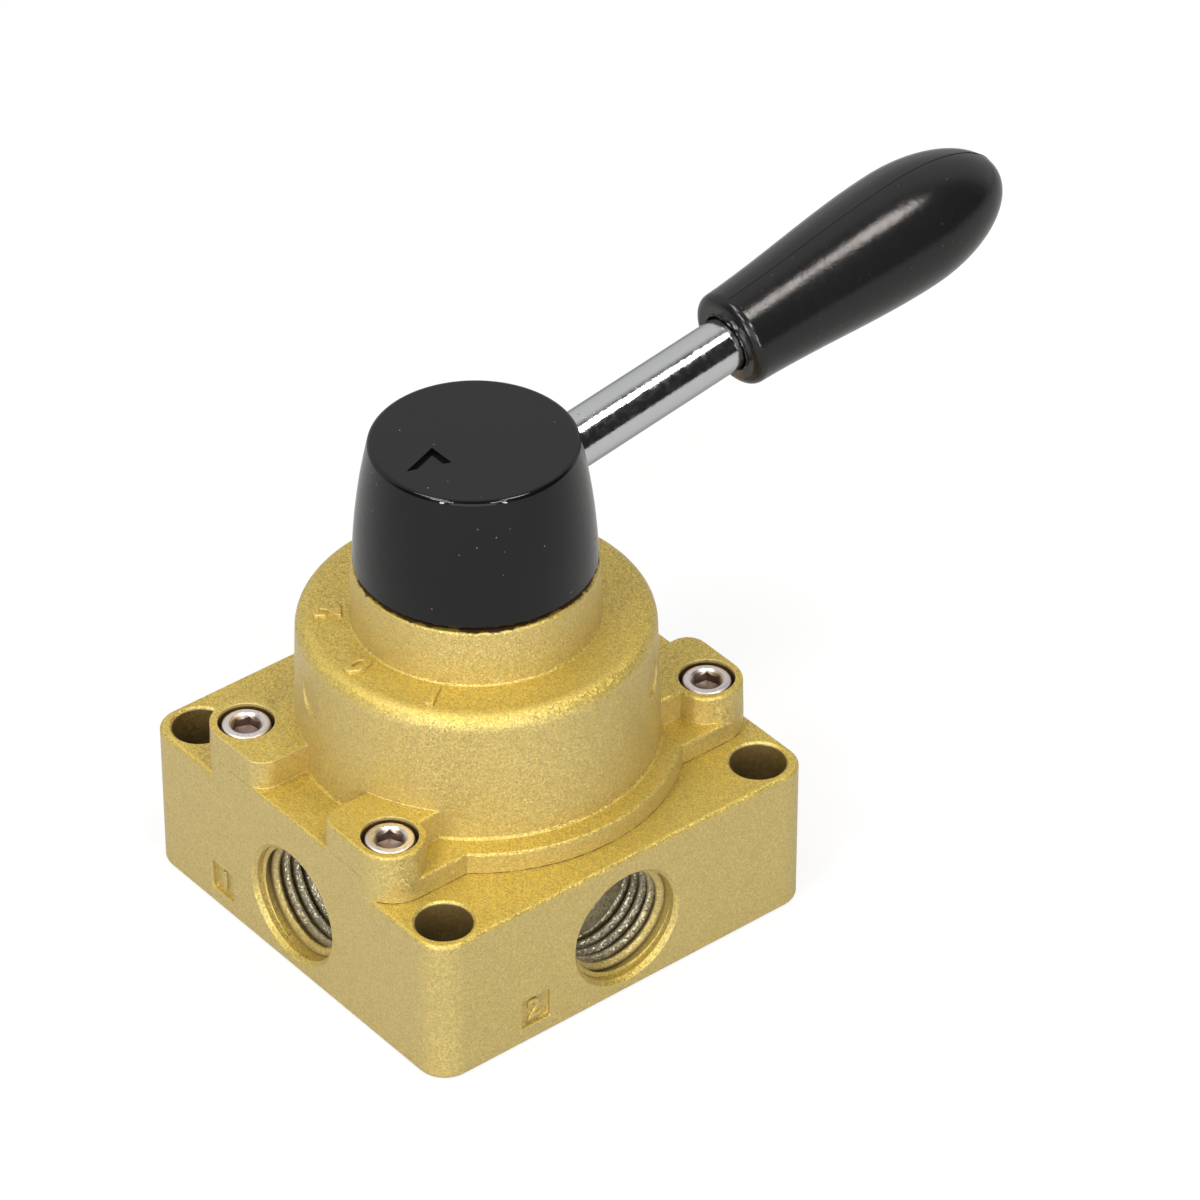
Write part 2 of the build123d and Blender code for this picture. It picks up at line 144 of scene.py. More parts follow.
def srgb(red, green, blue):
    """A colour as a picture editor shows it, in the renderer's own linear values."""
    def linear(value):
        value /= 255
        return value / 12.92 if value <= 0.04045 else ((value + 0.055) / 1.055) ** 2.4
    return (linear(red), linear(green), linear(blue), 1.0)


def new_group(name, inputs, outputs, kind="ShaderNodeTree"):
    """An empty node group with named inputs and outputs, and the nodes at its two ends."""
    tree = bpy.data.node_groups.new(name, kind)
    for socket_name, socket_type, default in inputs:
        socket = tree.interface.new_socket(socket_name, in_out="INPUT", socket_type=socket_type)
        if default is not None:
            socket.default_value = default
    for socket_name, socket_type in outputs:
        tree.interface.new_socket(socket_name, in_out="OUTPUT", socket_type=socket_type)
    return tree, tree.nodes.new("NodeGroupInput").outputs, tree.nodes.new("NodeGroupOutput").inputs


def place_group(tree, group, inputs):
    """A node group placed in a material with its own values."""
    return put(tree, "ShaderNodeGroup", inputs, node_tree=group).outputs


# Effects that several finishes share

def make_flakes():
    """Metal flakes in a paint: each lies at its own small tilt."""
    tree, given, wanted = new_group(
        "metal flakes",
        [("Place", "NodeSocketVector", None), ("Smooth Normal", "NodeSocketVector", None),
         ("Flake Size", "NodeSocketFloat", 0.15), ("Tilt", "NodeSocketFloat", 0.2)],
        [("Normal", "NodeSocketVector"), ("Glint", "NodeSocketFloat")],
    )
    density = maths(tree, "DIVIDE", 1.0, given["Flake Size"])
    cells = put(tree, "ShaderNodeTexVoronoi", {"Vector": given["Place"], "Scale": density})
    centred = vectors(tree, "SUBTRACT", cells.outputs["Color"], (0.5, 0.5, 0.5))
    tilt = put(tree, "ShaderNodeVectorMath", {0: centred, "Scale": given["Tilt"]}, operation="SCALE")
    turned = vectors(tree, "ADD", given["Smooth Normal"], tilt.outputs[0])
    tree.links.new(vectors(tree, "NORMALIZE", turned), wanted["Normal"])
    tree.links.new(cells.outputs["Color"], wanted["Glint"])
    return tree


def make_grain():
    """A fine skin of soft bumps in two sizes."""
    tree, given, wanted = new_group(
        "surface grain",
        [("Place", "NodeSocketVector", None), ("Coarse", "NodeSocketFloat", 1.0),
         ("Fine", "NodeSocketFloat", 5.0), ("Share of Fine", "NodeSocketFloat", 0.3)],
        [("Height", "NodeSocketFloat")],
    )
    coarse = noise(tree, given["Place"], given["Coarse"])
    fine = noise(tree, given["Place"], given["Fine"], 1.0)
    added = maths(tree, "MULTIPLY_ADD", fine, given["Share of Fine"], coarse)
    tree.links.new(added, wanted["Height"])
    return tree


def make_specks():
    """Scattered small round specks, as dust or pits."""
    tree, given, wanted = new_group(
        "specks",
        [("Place", "NodeSocketVector", None), ("Spacing", "NodeSocketFloat", 2.0),
         ("Speck Radius", "NodeSocketFloat", 0.1), ("Share Kept", "NodeSocketFloat", 0.5)],
        [("Mask", "NodeSocketFloat")],
    )
    density = maths(tree, "DIVIDE", 1.0, given["Spacing"])
    cells = put(tree, "ShaderNodeTexVoronoi", {"Vector": given["Place"], "Scale": density})
    away = maths(tree, "MULTIPLY", cells.outputs["Distance"], given["Spacing"])
    inside = ramp(tree, away, given["Speck Radius"], maths(tree, "MULTIPLY", given["Speck Radius"], 0.5))
    kept = maths(tree, "LESS_THAN", cells.outputs["Color"], given["Share Kept"])
    tree.links.new(maths(tree, "MULTIPLY", inside, kept), wanted["Mask"])
    return tree


def make_ring_wear():
    """A worn or thickly painted ring about the spindle axis, broken up by noise."""
    tree, given, wanted = new_group(
        "ring wear",
        [("Place", "NodeSocketVector", None), ("Ring Radius", "NodeSocketFloat", 10.0),
         ("Ring Height", "NodeSocketFloat", 0.0), ("Reach", "NodeSocketFloat", 0.3),
         ("Raggedness", "NodeSocketFloat", 0.5)],
        [("Mask", "NodeSocketFloat")],
    )
    place = put(tree, "ShaderNodeSeparateXYZ", {0: given["Place"]}).outputs
    outward = distance(tree, place[0], place[1])
    across = maths(tree, "SUBTRACT", outward, given["Ring Radius"])
    above = maths(tree, "SUBTRACT", place[2], given["Ring Height"])
    away = distance(tree, across, above)
    ragged = maths(tree, "SUBTRACT", noise(tree, given["Place"], 0.7, 5.0), 0.5)
    edge = maths(tree, "MULTIPLY_ADD", ragged, given["Raggedness"], away)
    mask = ramp(tree, edge, given["Reach"], maths(tree, "MULTIPLY", given["Reach"], 0.6))
    tree.links.new(mask, wanted["Mask"])
    return tree


flakes = make_flakes()
grain = make_grain()
specks = make_specks()
ring_wear = make_ring_wear()


# Finishes

def new_material(name):
    """An empty material, its node tree, its shader and the place of each point in millimetres."""
    material = bpy.data.materials.new(name)
    material.use_nodes = True
    tree = material.node_tree
    shader = tree.nodes["Principled BSDF"]
    spot = put(tree, "ShaderNodeTexCoord").outputs["Object"]
    place = put(tree, "ShaderNodeMapping", {"Vector": spot, "Scale": (1 / MM, 1 / MM, 1 / MM)}).outputs[0]
    return material, tree, shader, place


def feed(tree, shader, **values):
    """Set or link the shader's inputs; an underscore in a name stands for a space."""
    for name, value in values.items():
        give(tree, shader.inputs[name.replace("_", " ")], value)


def bumped(tree, height, strength, depth, normal=None):
    """A bump's normal."""
    inputs = {"Height": height, "Strength": strength, "Distance": depth * MM}
    if normal is not None:
        inputs["Normal"] = normal
    return put(tree, "ShaderNodeBump", inputs).outputs[0]


def grain_height(tree, place, coarse, fine, share_of_fine):
    """The height of a finish's fine skin."""
    inputs = {"Place": place, "Coarse": coarse, "Fine": fine, "Share of Fine": share_of_fine}
    return place_group(tree, grain, inputs)["Height"]


def speck_mask(tree, place, spacing, radius, share_kept):
    """Where a finish's dust or pits lie."""
    inputs = {"Place": place, "Spacing": spacing, "Speck Radius": radius, "Share Kept": share_kept}
    return place_group(tree, specks, inputs)["Mask"]


# Painted shade and reflection: a deeper gold for faces that look up, a paler gold for the sides that face the
# white table
PAINT_UP_SHADED = srgb(195, 171, 80)
PAINT_SIDE_LIT = srgb(199, 178, 108)
PAINT_EDGE_HIGHLIGHT = srgb(230, 215, 165)
METAL = 0.66
COAT = 0.5
FLAKE_SIZE = 0.15
EDGE_ROUNDING = 0.2
JOINT_REACH = 0.3
BARE_METAL = srgb(196, 188, 164)
GRIME_AND_SHADE_BROWN = srgb(70, 48, 20)
HOLE_SHADE_ROOT_BROWN = srgb(96, 78, 38)
SOCKET_BROWN = srgb(146, 130, 120)


def casting_normal(tree, place):
    """Normals rounded over sharp edges, and a mask of these edges.

    The painted joint where cover and body lie flush is left out of both.
    """
    rounded = put(tree, "ShaderNodeBevel", {"Radius": EDGE_ROUNDING * MM}, samples=6).outputs[0]
    plain = put(tree, "ShaderNodeNewGeometry").outputs["Normal"]
    pair = put(tree, "ShaderNodeVectorMath", {0: rounded, 1: plain}, operation="DOT_PRODUCT")
    sharp = ramp(tree, pair.outputs["Value"], 0.955, 0.87)
    across = put(tree, "ShaderNodeSeparateXYZ", {0: place}).outputs
    flush = maths(tree, "GREATER_THAN", maths(tree, "ABSOLUTE", across[0]), BODY_HALF - 0.02)
    between = maths(tree, "LESS_THAN", maths(tree, "ABSOLUTE", across[1]), SCREW_Y)
    joint = maths(tree, "ABSOLUTE", maths(tree, "SUBTRACT", across[2], BODY_TOP))
    near = maths(tree, "LESS_THAN", joint, JOINT_REACH)
    filled = maths(tree, "MULTIPLY", maths(tree, "MULTIPLY", flush, between), near)
    share = maths(tree, "MULTIPLY", sharp, maths(tree, "SUBTRACT", 1.0, filled))
    mixed = put(tree, "ShaderNodeMix", {"Factor": share}, data_type="VECTOR")
    tree.links.new(plain, mixed.inputs[4])
    tree.links.new(rounded, mixed.inputs[5])
    return mixed.outputs[1], share


def upward_share(tree):
    """How far a surface faces up: there the paint is given a deeper colour as painted shade, and the sides a
    paler one as painted reflection.
    """
    normal = put(tree, "ShaderNodeNewGeometry").outputs["Normal"]
    up = put(tree, "ShaderNodeSeparateXYZ", {0: normal}).outputs[2]
    return ramp(tree, up, -0.1, 1.0)


def gold_paint(name, bare=None, grime_and_shade=None, dark=GRIME_AND_SHADE_BROWN):
    """Metallic gold paint on a casting; bare and grime_and_shade make masks in its tree, the second for
    darkened places: worn bits, joints, painted shade and thread roots.
    """
    material, tree, shader, place = new_material(name)
    smooth, edge = casting_normal(tree, place)
    upward = upward_share(tree)
    calm = maths(tree, "MULTIPLY_ADD", edge, -0.85, 1.0)
    tilt = maths(tree, "MULTIPLY", maths(tree, "MULTIPLY_ADD", upward, 0.1, 0.36), calm)
    if bare is not None:
        bare_mask = bare(tree, place)
        tilt = maths(tree, "MULTIPLY_ADD", bare_mask, 0.4, tilt)
    lie = {"Place": place, "Smooth Normal": smooth, "Flake Size": FLAKE_SIZE, "Tilt": tilt}
    flake = place_group(tree, flakes, lie)
    skin = grain_height(tree, place, 2.2, 6.5, 0.8)
    # painted glint: each flake's colour is made lighter or darker at random, more so on faces that look up
    # and less on sharp edges
    glint = maths(tree, "SUBTRACT", flake["Glint"], 0.5)
    spread = maths(tree, "MULTIPLY", maths(tree, "MULTIPLY_ADD", upward, 0.5, 0.5), calm)
    sparkle = maths(tree, "MULTIPLY_ADD", glint, spread, 1.0)
    # painted shade and reflection: tops take the deeper gold, sides the paler gold, as the light falls on
    # them
    colour = blend_colours(tree, upward, PAINT_SIDE_LIT, PAINT_UP_SHADED)
    colour = dimmed(tree, colour, ramp(tree, skin, 0.5, 1.3, 0.97, 1.02))
    # painted highlight: sharp convex and concave edges are blended towards a pale gold
    colour = blend_colours(tree, maths(tree, "MULTIPLY", edge, 0.65), colour, PAINT_EDGE_HIGHLIGHT)
    colour = dimmed(tree, colour, sparkle)
    roughness = ramp(tree, skin, 0.4, 1.4, 0.48, 0.56)
    metal = METAL
    coat = COAT
    if bare is not None:
        # painted glint on the bare metal: its colour is made lighter or darker flake by flake
        bright = dimmed(tree, BARE_METAL, maths(tree, "MULTIPLY_ADD", glint, 1.0, 1.05))
        colour = blend_colours(tree, bare_mask, colour, bright)
        roughness = maths(tree, "MULTIPLY_ADD", bare_mask, -0.15, roughness)
        metal = maths(tree, "MULTIPLY_ADD", bare_mask, 0.2, METAL)
        coat = maths(tree, "MULTIPLY_ADD", bare_mask, -COAT, COAT)
    if grime_and_shade is not None:
        mask = grime_and_shade(tree, place)
        colour = blend_colours(tree, mask, colour, dark)
        metal = maths(tree, "MULTIPLY_ADD", mask, -METAL, METAL)
    height = skin
    if bare is not None:
        height = maths(tree, "MULTIPLY", height, maths(tree, "MULTIPLY_ADD", bare_mask, 4.0, 1.0))
    normal = bumped(tree, height, 0.16, 0.02, flake["Normal"])
    feed(tree, shader, Base_Color=colour, Metallic=metal, Roughness=roughness, Coat_Weight=coat,
         Coat_Roughness=0.38, Coat_IOR=1.5, Normal=normal)
    return material


def bare_ports(tree, place):
    """Bare metal inside the ports, from a little way in."""
    wall, painted_to, bare_from = PORT_WALL_R + 0.1, BODY_HALF - 1.6, BODY_HALF - 4.6
    across = put(tree, "ShaderNodeSeparateXYZ", {0: place}).outputs
    ragged = noise(tree, place, 1.4, 3.0)
    above = maths(tree, "SUBTRACT", across[2], PORT_HEIGHT)
    masks = []
    for along, beside in ((0, 1), (1, 0)):
        inside = maths(tree, "LESS_THAN", distance(tree, across[beside], above), wall)
        reach = maths(tree, "ADD", maths(tree, "ABSOLUTE", across[along]), ragged)
        deep = ramp(tree, reach, painted_to + 0.5, bare_from + 0.5)
        masks.append(maths(tree, "MULTIPLY", inside, deep))
    return maths(tree, "MAXIMUM", *masks)


def shaded_holes_dark_roots(tree, place):
    """Painted shade inside the mounting holes, and darker colour in the roots of the threads."""
    across = put(tree, "ShaderNodeSeparateXYZ", {0: place}).outputs
    sides = [maths(tree, "ABSOLUTE", across[axis]) for axis in (0, 1)]
    offsets = [maths(tree, "SUBTRACT", side, HOLE_HALF_PITCH) for side in sides]
    # painted shade: the walls of the mounting holes are darkened
    hole = ramp(tree, distance(tree, *offsets), HOLE_R + 0.12, HOLE_R + 0.04)
    above = maths(tree, "SUBTRACT", across[2], PORT_HEIGHT)
    masks = [hole]
    for along, beside in ((0, 1), (1, 0)):
        out = distance(tree, across[beside], above)
        # the roots of the threads are darkened
        root = ramp(tree, out, PORT_WALL_R - 0.5, PORT_WALL_R - 0.15)
        wall = maths(tree, "LESS_THAN", out, PORT_WALL_R + 0.05)
        deep = ramp(tree, sides[along], BODY_HALF - 1.3, BODY_HALF - 2.2)
        threaded = ramp(tree, sides[along], PORT_FLOOR + 0.9, PORT_FLOOR + 1.5)
        darker_roots = maths(tree, "MULTIPLY", root, wall)
        masks.append(maths(tree, "MULTIPLY", darker_roots, maths(tree, "MULTIPLY", deep, threaded)))
    return maths(tree, "MAXIMUM", maths(tree, "MAXIMUM", masks[0], masks[1]), masks[2])


def flange_joint(tree, place):
    """The thin dark line where the cover's flange meets the body."""
    across = put(tree, "ShaderNodeSeparateXYZ", {0: place}).outputs
    away = maths(tree, "ABSOLUTE", maths(tree, "SUBTRACT", across[2], BODY_TOP))
    width = ramp(tree, noise(tree, place, 0.8, 3.0), 0.35, 0.65, 0.03, 0.1)
    line = maths(tree, "LESS_THAN", away, width)
    curved = maths(tree, "LESS_THAN", maths(tree, "ABSOLUTE", across[0]), BODY_HALF - 0.5)
    return maths(tree, "MULTIPLY", line, curved)


def cover_grime_and_shade(tree, place):
    """Dark worn bits on the neck's rim, painted shade on the counterbore walls round each screw head, and the
    dark line of the flange's joint.
    """
    rim = place_group(tree, ring_wear, {"Place": place, "Ring Radius": NECK_RIM_R - 0.75,
                                        "Ring Height": NECK_RIM_Z, "Reach": 0.5, "Raggedness": 2.2})["Mask"]
    across = put(tree, "ShaderNodeSeparateXYZ", {0: place}).outputs
    beside = maths(tree, "SUBTRACT", maths(tree, "ABSOLUTE", across[0]), SCREW_X)
    beyond = maths(tree, "SUBTRACT", maths(tree, "ABSOLUTE", across[1]), SCREW_Y)
    # painted shade in the counterbore round each screw head, below the lug's top
    recess = ramp(tree, distance(tree, beside, beyond), 3.2, 3.1)
    below = ramp(tree, across[2], LUG_TOP - 0.25, LUG_TOP - 0.5)
    return maths(tree, "MAXIMUM", maths(tree, "MAXIMUM", rim, maths(tree, "MULTIPLY", recess, below)),
                 flange_joint(tree, place))


def hub_black():
    """Satin black moulding with dust specks."""
    material, tree, shader, place = new_material("satin black hub")
    skin = grain_height(tree, place, 1.6, 7.0, 0.5)
    dust = speck_mask(tree, place, 1.4, 0.1, 0.5)
    colour = blend_colours(tree, dust, srgb(9, 9, 10), srgb(112, 112, 108))
    roughness = ramp(tree, skin, 0.4, 1.1, 0.3, 0.4)
    normal = bumped(tree, skin, 0.08, 0.02)
    feed(tree, shader, Base_Color=colour, Roughness=roughness, Normal=normal, Specular_IOR_Level=0.04,
         Coat_Weight=0.62, Coat_Roughness=0.03)
    return material


def grip_black():
    """Glossy black moulding with pits, and a brown stain low on its face."""
    material, tree, shader, place = new_material("glossy black grip")
    skin = grain_height(tree, place, 1.6, 5.0, 0.6)
    pits = speck_mask(tree, place, 1.0, 0.1, 0.45)
    colour = blend_colours(tree, pits, srgb(24, 24, 24), srgb(62, 60, 58))
    stained = LEVER_FOOT + LEVER_ALONG * (GRIP_START + 0.3) - LEVER_UP * 4.3
    offset = vectors(tree, "SUBTRACT", place, tuple(stained))
    reach = put(tree, "ShaderNodeVectorMath", {0: offset}, operation="LENGTH").outputs["Value"]
    stain = ramp(tree, maths(tree, "MULTIPLY_ADD", noise(tree, place, 0.9, 4.0), 2.4, reach), 4.2, 1.8)
    colour = blend_colours(tree, stain, colour, srgb(92, 70, 42))
    roughness = ramp(tree, skin, 0.4, 1.4, 0.16, 0.26)
    height = maths(tree, "MULTIPLY_ADD", pits, -0.8, skin)
    normal = bumped(tree, height, 0.7, 0.02)
    feed(tree, shader, Base_Color=colour, Roughness=roughness, Normal=normal, Specular_IOR_Level=0.34)
    return material


def chrome():
    """Bright plating with fine pits."""
    material, tree, shader, place = new_material("chrome rod")
    skin = grain_height(tree, place, 1.4, 6.0, 0.5)
    pits = speck_mask(tree, place, 0.9, 0.12, 0.4)
    colour = blend_colours(tree, pits, srgb(207, 208, 209), srgb(110, 108, 106))
    height = maths(tree, "MULTIPLY_ADD", pits, -1.5, skin)
    normal = bumped(tree, height, 0.7, 0.02)
    roughness = maths(tree, "MULTIPLY_ADD", pits, 0.25, ramp(tree, skin, 0.5, 1.1, 0.09, 0.2))
    feed(tree, shader, Base_Color=colour, Metallic=1.0, Roughness=roughness, Normal=normal,
         Specular_Tint=(0.55, 0.55, 0.55, 1.0))
    return material


def screw_socket(tree, place):
    """The brown-grey inside of each cover screw's socket."""
    across = put(tree, "ShaderNodeSeparateXYZ", {0: place}).outputs
    beside = maths(tree, "SUBTRACT", maths(tree, "ABSOLUTE", across[0]), SCREW_X)
    beyond = maths(tree, "SUBTRACT", maths(tree, "ABSOLUTE", across[1]), SCREW_Y)
    inside = ramp(tree, distance(tree, beside, beyond), 1.7, 1.6)
    below = ramp(tree, across[2], SCREW_SEAT_Z + SCREW_HEAD - 0.1, SCREW_SEAT_Z + SCREW_HEAD - 0.3)
    return maths(tree, "MULTIPLY", inside, below)


def bright_steel(name, colour_light, colour_dark, roughness_low, hollow=None):
    """Formed or turned metal with scuffs; hollow makes a mask of a darker inside."""
    material, tree, shader, place = new_material(name)
    skin = grain_height(tree, place, 2.5, 9.0, 0.5)
    pits = speck_mask(tree, place, 0.7, 0.1, 0.35)
    scuffs = maths(tree, "MAXIMUM", pits, ramp(tree, skin, 0.85, 1.1))
    colour = blend_colours(tree, scuffs, colour_light, colour_dark)
    roughness = maths(tree, "MULTIPLY_ADD", scuffs, 0.2, roughness_low)
    if hollow is not None:
        colour = blend_colours(tree, hollow(tree, place), colour, SOCKET_BROWN)
    normal = bumped(tree, skin, 0.5, 0.02)
    feed(tree, shader, Base_Color=colour, Metallic=1.0, Roughness=roughness, Normal=normal)
    return material


def plain_moulding(name, colour_light, colour_dark, roughness_low):
    """A moulded inner piece: seal, washer or disc."""
    material, tree, shader, place = new_material(name)
    skin = grain_height(tree, place, 1.0, 6.0, 0.4)
    colour = blend_colours(tree, ramp(tree, skin, 0.4, 1.0), colour_dark, colour_light)
    roughness = ramp(tree, skin, 0.4, 1.1, roughness_low, roughness_low + 0.15)
    feed(tree, shader, Base_Color=colour, Roughness=roughness, Normal=bumped(tree, skin, 0.2, 0.03))
    return material


def coat(piece, finish):
    """Give a piece one finish all over."""
    piece.data.materials.clear()
    piece.data.materials.append(finish)
    for polygon in piece.data.polygons:
        polygon.material_index = 0


def dress(name, finish):
    """Give a carried-over part its finish."""
    coat(parts[name], finish)


body_paint = gold_paint("gold paint on body", bare=bare_ports, grime_and_shade=shaded_holes_dark_roots, dark=HOLE_SHADE_ROOT_BROWN)
cover_paint = gold_paint("gold paint on cover", grime_and_shade=cover_grime_and_shade)
hub_finish = hub_black()
grip_finish = grip_black()
rod_finish = chrome()
screw_finish = bright_steel("bright screw steel", srgb(228, 219, 217), srgb(172, 162, 158), 0.36,
                            screw_socket)
steel_finish = bright_steel("turned steel", srgb(180, 180, 182), srgb(130, 130, 132), 0.25)
brass_finish = bright_steel("turned brass", srgb(205, 178, 118), srgb(150, 120, 66), 0.25)
seal_finish = plain_moulding("seal rubber", srgb(34, 34, 34), srgb(24, 24, 24), 0.5)
washer_finish = plain_moulding("white washer", srgb(226, 224, 216), srgb(206, 203, 194), 0.35)
disc_finish = plain_moulding("dark disc", srgb(78, 78, 82), srgb(62, 62, 66), 0.35)

dress("valve_body", body_paint)
dress("cover", cover_paint)
dress("hub", hub_finish)
dress("grip", grip_finish)
dress("lever_rod", rod_finish)
for name in ("shaft", "stop_pin", "seat_spring", "detent_ball_left", "detent_ball_right",
             "detent_spring_left", "detent_spring_right"):
    dress(name, steel_finish)
for name in ("shaft_bush", "grip_insert"):
    dress(name, brass_finish)
for name in ("cover_seal", "shaft_seal"):
    dress(name, seal_finish)
for name in ("thrust_washer", "hub_washer"):
    dress(name, washer_finish)
dress("rotor_disc", disc_finish)


# Pieces that are added to the model

def new_piece(name, mesh):
    """An object at the origin that holds a mesh."""
    piece = bpy.data.objects.new(name, mesh)
    bpy.context.scene.collection.objects.link(piece)
    return piece


def grown(piece, tree, finish, values):
    """Run a Geometry Nodes tree on a piece and keep what it makes as a plain mesh of one finish."""
    modifier = piece.modifiers.new("grow", "NODES")
    modifier.node_group = tree
    for item in tree.interface.items_tree:
        if item.in_out == "INPUT" and item.name in values:
            modifier[item.identifier] = values[item.name]
        if item.in_out == "INPUT" and item.name == "Finish":
            modifier[item.identifier] = finish
    shown = piece.evaluated_get(bpy.context.evaluated_depsgraph_get())
    mesh = bpy.data.meshes.new_from_object(shown)
    piece.modifiers.remove(modifier)
    piece.data = mesh
    coat(piece, finish)
    return piece


def closed(piece, smooth_angle=35):
    """Join doubled points, turn the faces outwards and shade them smooth up to an angle."""
    shape = bmesh.new()
    shape.from_mesh(piece.data)
    bmesh.ops.remove_doubles(shape, verts=shape.verts, dist=0.0005 * MM)
    bmesh.ops.dissolve_degenerate(shape, edges=shape.edges, dist=0.0005 * MM)
    bmesh.ops.recalc_face_normals(shape, faces=shape.faces)
    for face in shape.faces:
        face.smooth = True
    shape.to_mesh(piece.data)
    shape.free()
    piece.data.set_sharp_from_angle(angle=radians(smooth_angle))
    return piece


def seat(piece, body):
    """Let a piece ride on a body."""
    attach(piece, body)


def thread_tree():
    """A round-crested thread in the mouth of each port, one instance for each side."""
    tree, given, wanted = new_group(
        "port thread",
        [("Wall Radius", "NodeSocketFloat", PORT_WALL_R * MM),
         ("Ridge Height", "NodeSocketFloat", THREAD_DEPTH * MM),
         ("Pitch", "NodeSocketFloat", THREAD_PITCH * MM), ("Turns", "NodeSocketFloat", THREAD_TURNS),
         ("Lead In", "NodeSocketFloat", THREAD_LEAD_IN * MM),
         ("Body Half", "NodeSocketFloat", BODY_HALF * MM),
         ("Port Height", "NodeSocketFloat", PORT_HEIGHT * MM), ("Finish", "NodeSocketMaterial", None)],
        [("Geometry", "NodeSocketGeometry")],
        "GeometryNodeTree",
    )
    rise = maths(tree, "MULTIPLY", given["Pitch"], given["Turns"])
    path = put(tree, "GeometryNodeCurveSpiral",
               {"Resolution": 64, "Rotations": given["Turns"], "Start Radius": given["Wall Radius"],
                "End Radius": given["Wall Radius"], "Height": rise, "Reverse": True})
    path = put(tree, "GeometryNodeSetCurveNormal", {"Curve": path.outputs[0]}, mode="Z_UP")
    sizes = {"Height": given["Ridge Height"], "Bottom Width": maths(tree, "MULTIPLY", given["Pitch"], 0.94),
             "Top Width": maths(tree, "MULTIPLY", given["Pitch"], 0.2), "Offset": 0.0}
    ridge = put(tree, "GeometryNodeCurvePrimitiveQuadrilateral", sizes, mode="TRAPEZOID")
    half = maths(tree, "MULTIPLY", given["Ridge Height"], -0.48)
    inward = put(tree, "ShaderNodeCombineXYZ", {0: half}).outputs[0]
    ridge = put(tree, "GeometryNodeTransform",
                {"Geometry": ridge.outputs[0], "Translation": inward, "Rotation": (0, 0, pi / 2)})
    rounding = {"Curve": ridge.outputs[0], "Radius": THREAD_ROUNDING * MM, "Count": 4}
    rounded = put(tree, "GeometryNodeFilletCurve", rounding, mode="POLY")
    factor = put(tree, "GeometryNodeSplineParameter").outputs["Factor"]
    left = maths(tree, "MINIMUM", factor, maths(tree, "SUBTRACT", 1.0, factor))
    runout = maths(tree, "MULTIPLY", maths(tree, "MULTIPLY", left, given["Turns"]), 1.6)
    size = maths(tree, "MAXIMUM", maths(tree, "MINIMUM", runout, 1.0), 0.03)
    thread = put(tree, "GeometryNodeCurveToMesh",
                 {"Curve": path.outputs[0], "Profile Curve": rounded.outputs[0], "Scale": size,
                  "Fill Caps": True})
    sides = put(tree, "GeometryNodeMeshCircle",
                {"Vertices": 4, "Radius": maths(tree, "SUBTRACT", given["Body Half"], given["Lead In"])})
    outward = put(tree, "GeometryNodeInputPosition").outputs[0]
    inward = put(tree, "ShaderNodeVectorMath", {0: outward, "Scale": -1.0}, operation="SCALE").outputs[0]
    turned = put(tree, "FunctionNodeAlignRotationToVector", {"Vector": inward}, axis="Z")
    threads = put(tree, "GeometryNodeInstanceOnPoints",
                  {"Points": sides.outputs[0], "Instance": thread.outputs[0], "Rotation": turned.outputs[0]})
    lift = put(tree, "ShaderNodeCombineXYZ", {2: given["Port Height"]}).outputs[0]
    lifted = put(tree, "GeometryNodeTransform", {"Geometry": threads.outputs[0], "Translation": lift})
    real = put(tree, "GeometryNodeRealizeInstances", {"Geometry": lifted.outputs[0]})
    dressed = put(tree, "GeometryNodeSetMaterial", {"Geometry": real.outputs[0], "Material": given["Finish"]})
    tree.links.new(dressed.outputs[0], wanted["Geometry"])
    return tree


def cut_threads():
    """The threads in the four ports."""
    piece = new_piece("port_threads", bpy.data.meshes.new("port_threads"))
    grown(piece, thread_tree(), body_paint, {})
    seat(closed(piece, 50), "valve")


def one_screw():
    """A socket head screw whose chamfered hexagon leaves scallops round its mouth."""
    points, across, mouth_r, head, depth = 48, 1.36, 1.84, SCREW_HEAD, 1.4
    def hexagon(angle):
        return across / cos((angle % (pi / 3)) - pi / 6)
    rings = [(1.15, -8.0), (1.45, -7.7), (1.45, 0.0), (2.52, 0.0), (2.67, 0.15), (2.67, 2.56),
             (2.63, 2.74), (2.53, 2.89), (2.36, 2.98), (2.22, 3.0), (mouth_r, head)]
    shape = bmesh.new()
    loops = []
    for ring in range(len(rings) + 3):
        loop = []
        for step in range(points):
            angle = 2 * pi * step / points
            if ring < len(rings):
                radius, height = rings[ring]
            elif ring == len(rings):
                radius = hexagon(angle)
                height = head - (mouth_r - radius)
            elif ring == len(rings) + 1:
                radius, height = hexagon(angle), head - depth
            else:
                radius, height = 1.05, head - depth - 0.1
            place = Vector((radius * cos(angle), radius * sin(angle), height)) * MM
            loop.append(shape.verts.new(place))
        loops.append(loop)
    for lower, upper in zip(loops, loops[1:]):
        for step in range(points):
            following = (step + 1) % points
            shape.faces.new((lower[step], lower[following], upper[following], upper[step]))
    for loop, height in ((loops[0], -8.15), (loops[-1], head - depth - 0.5)):
        pole = shape.verts.new((0, 0, height * MM))
        for step in range(points):
            shape.faces.new((pole, loop[step], loop[(step + 1) % points]))
    mesh = bpy.data.meshes.new("one screw")
    shape.to_mesh(mesh)
    shape.free()
    return mesh


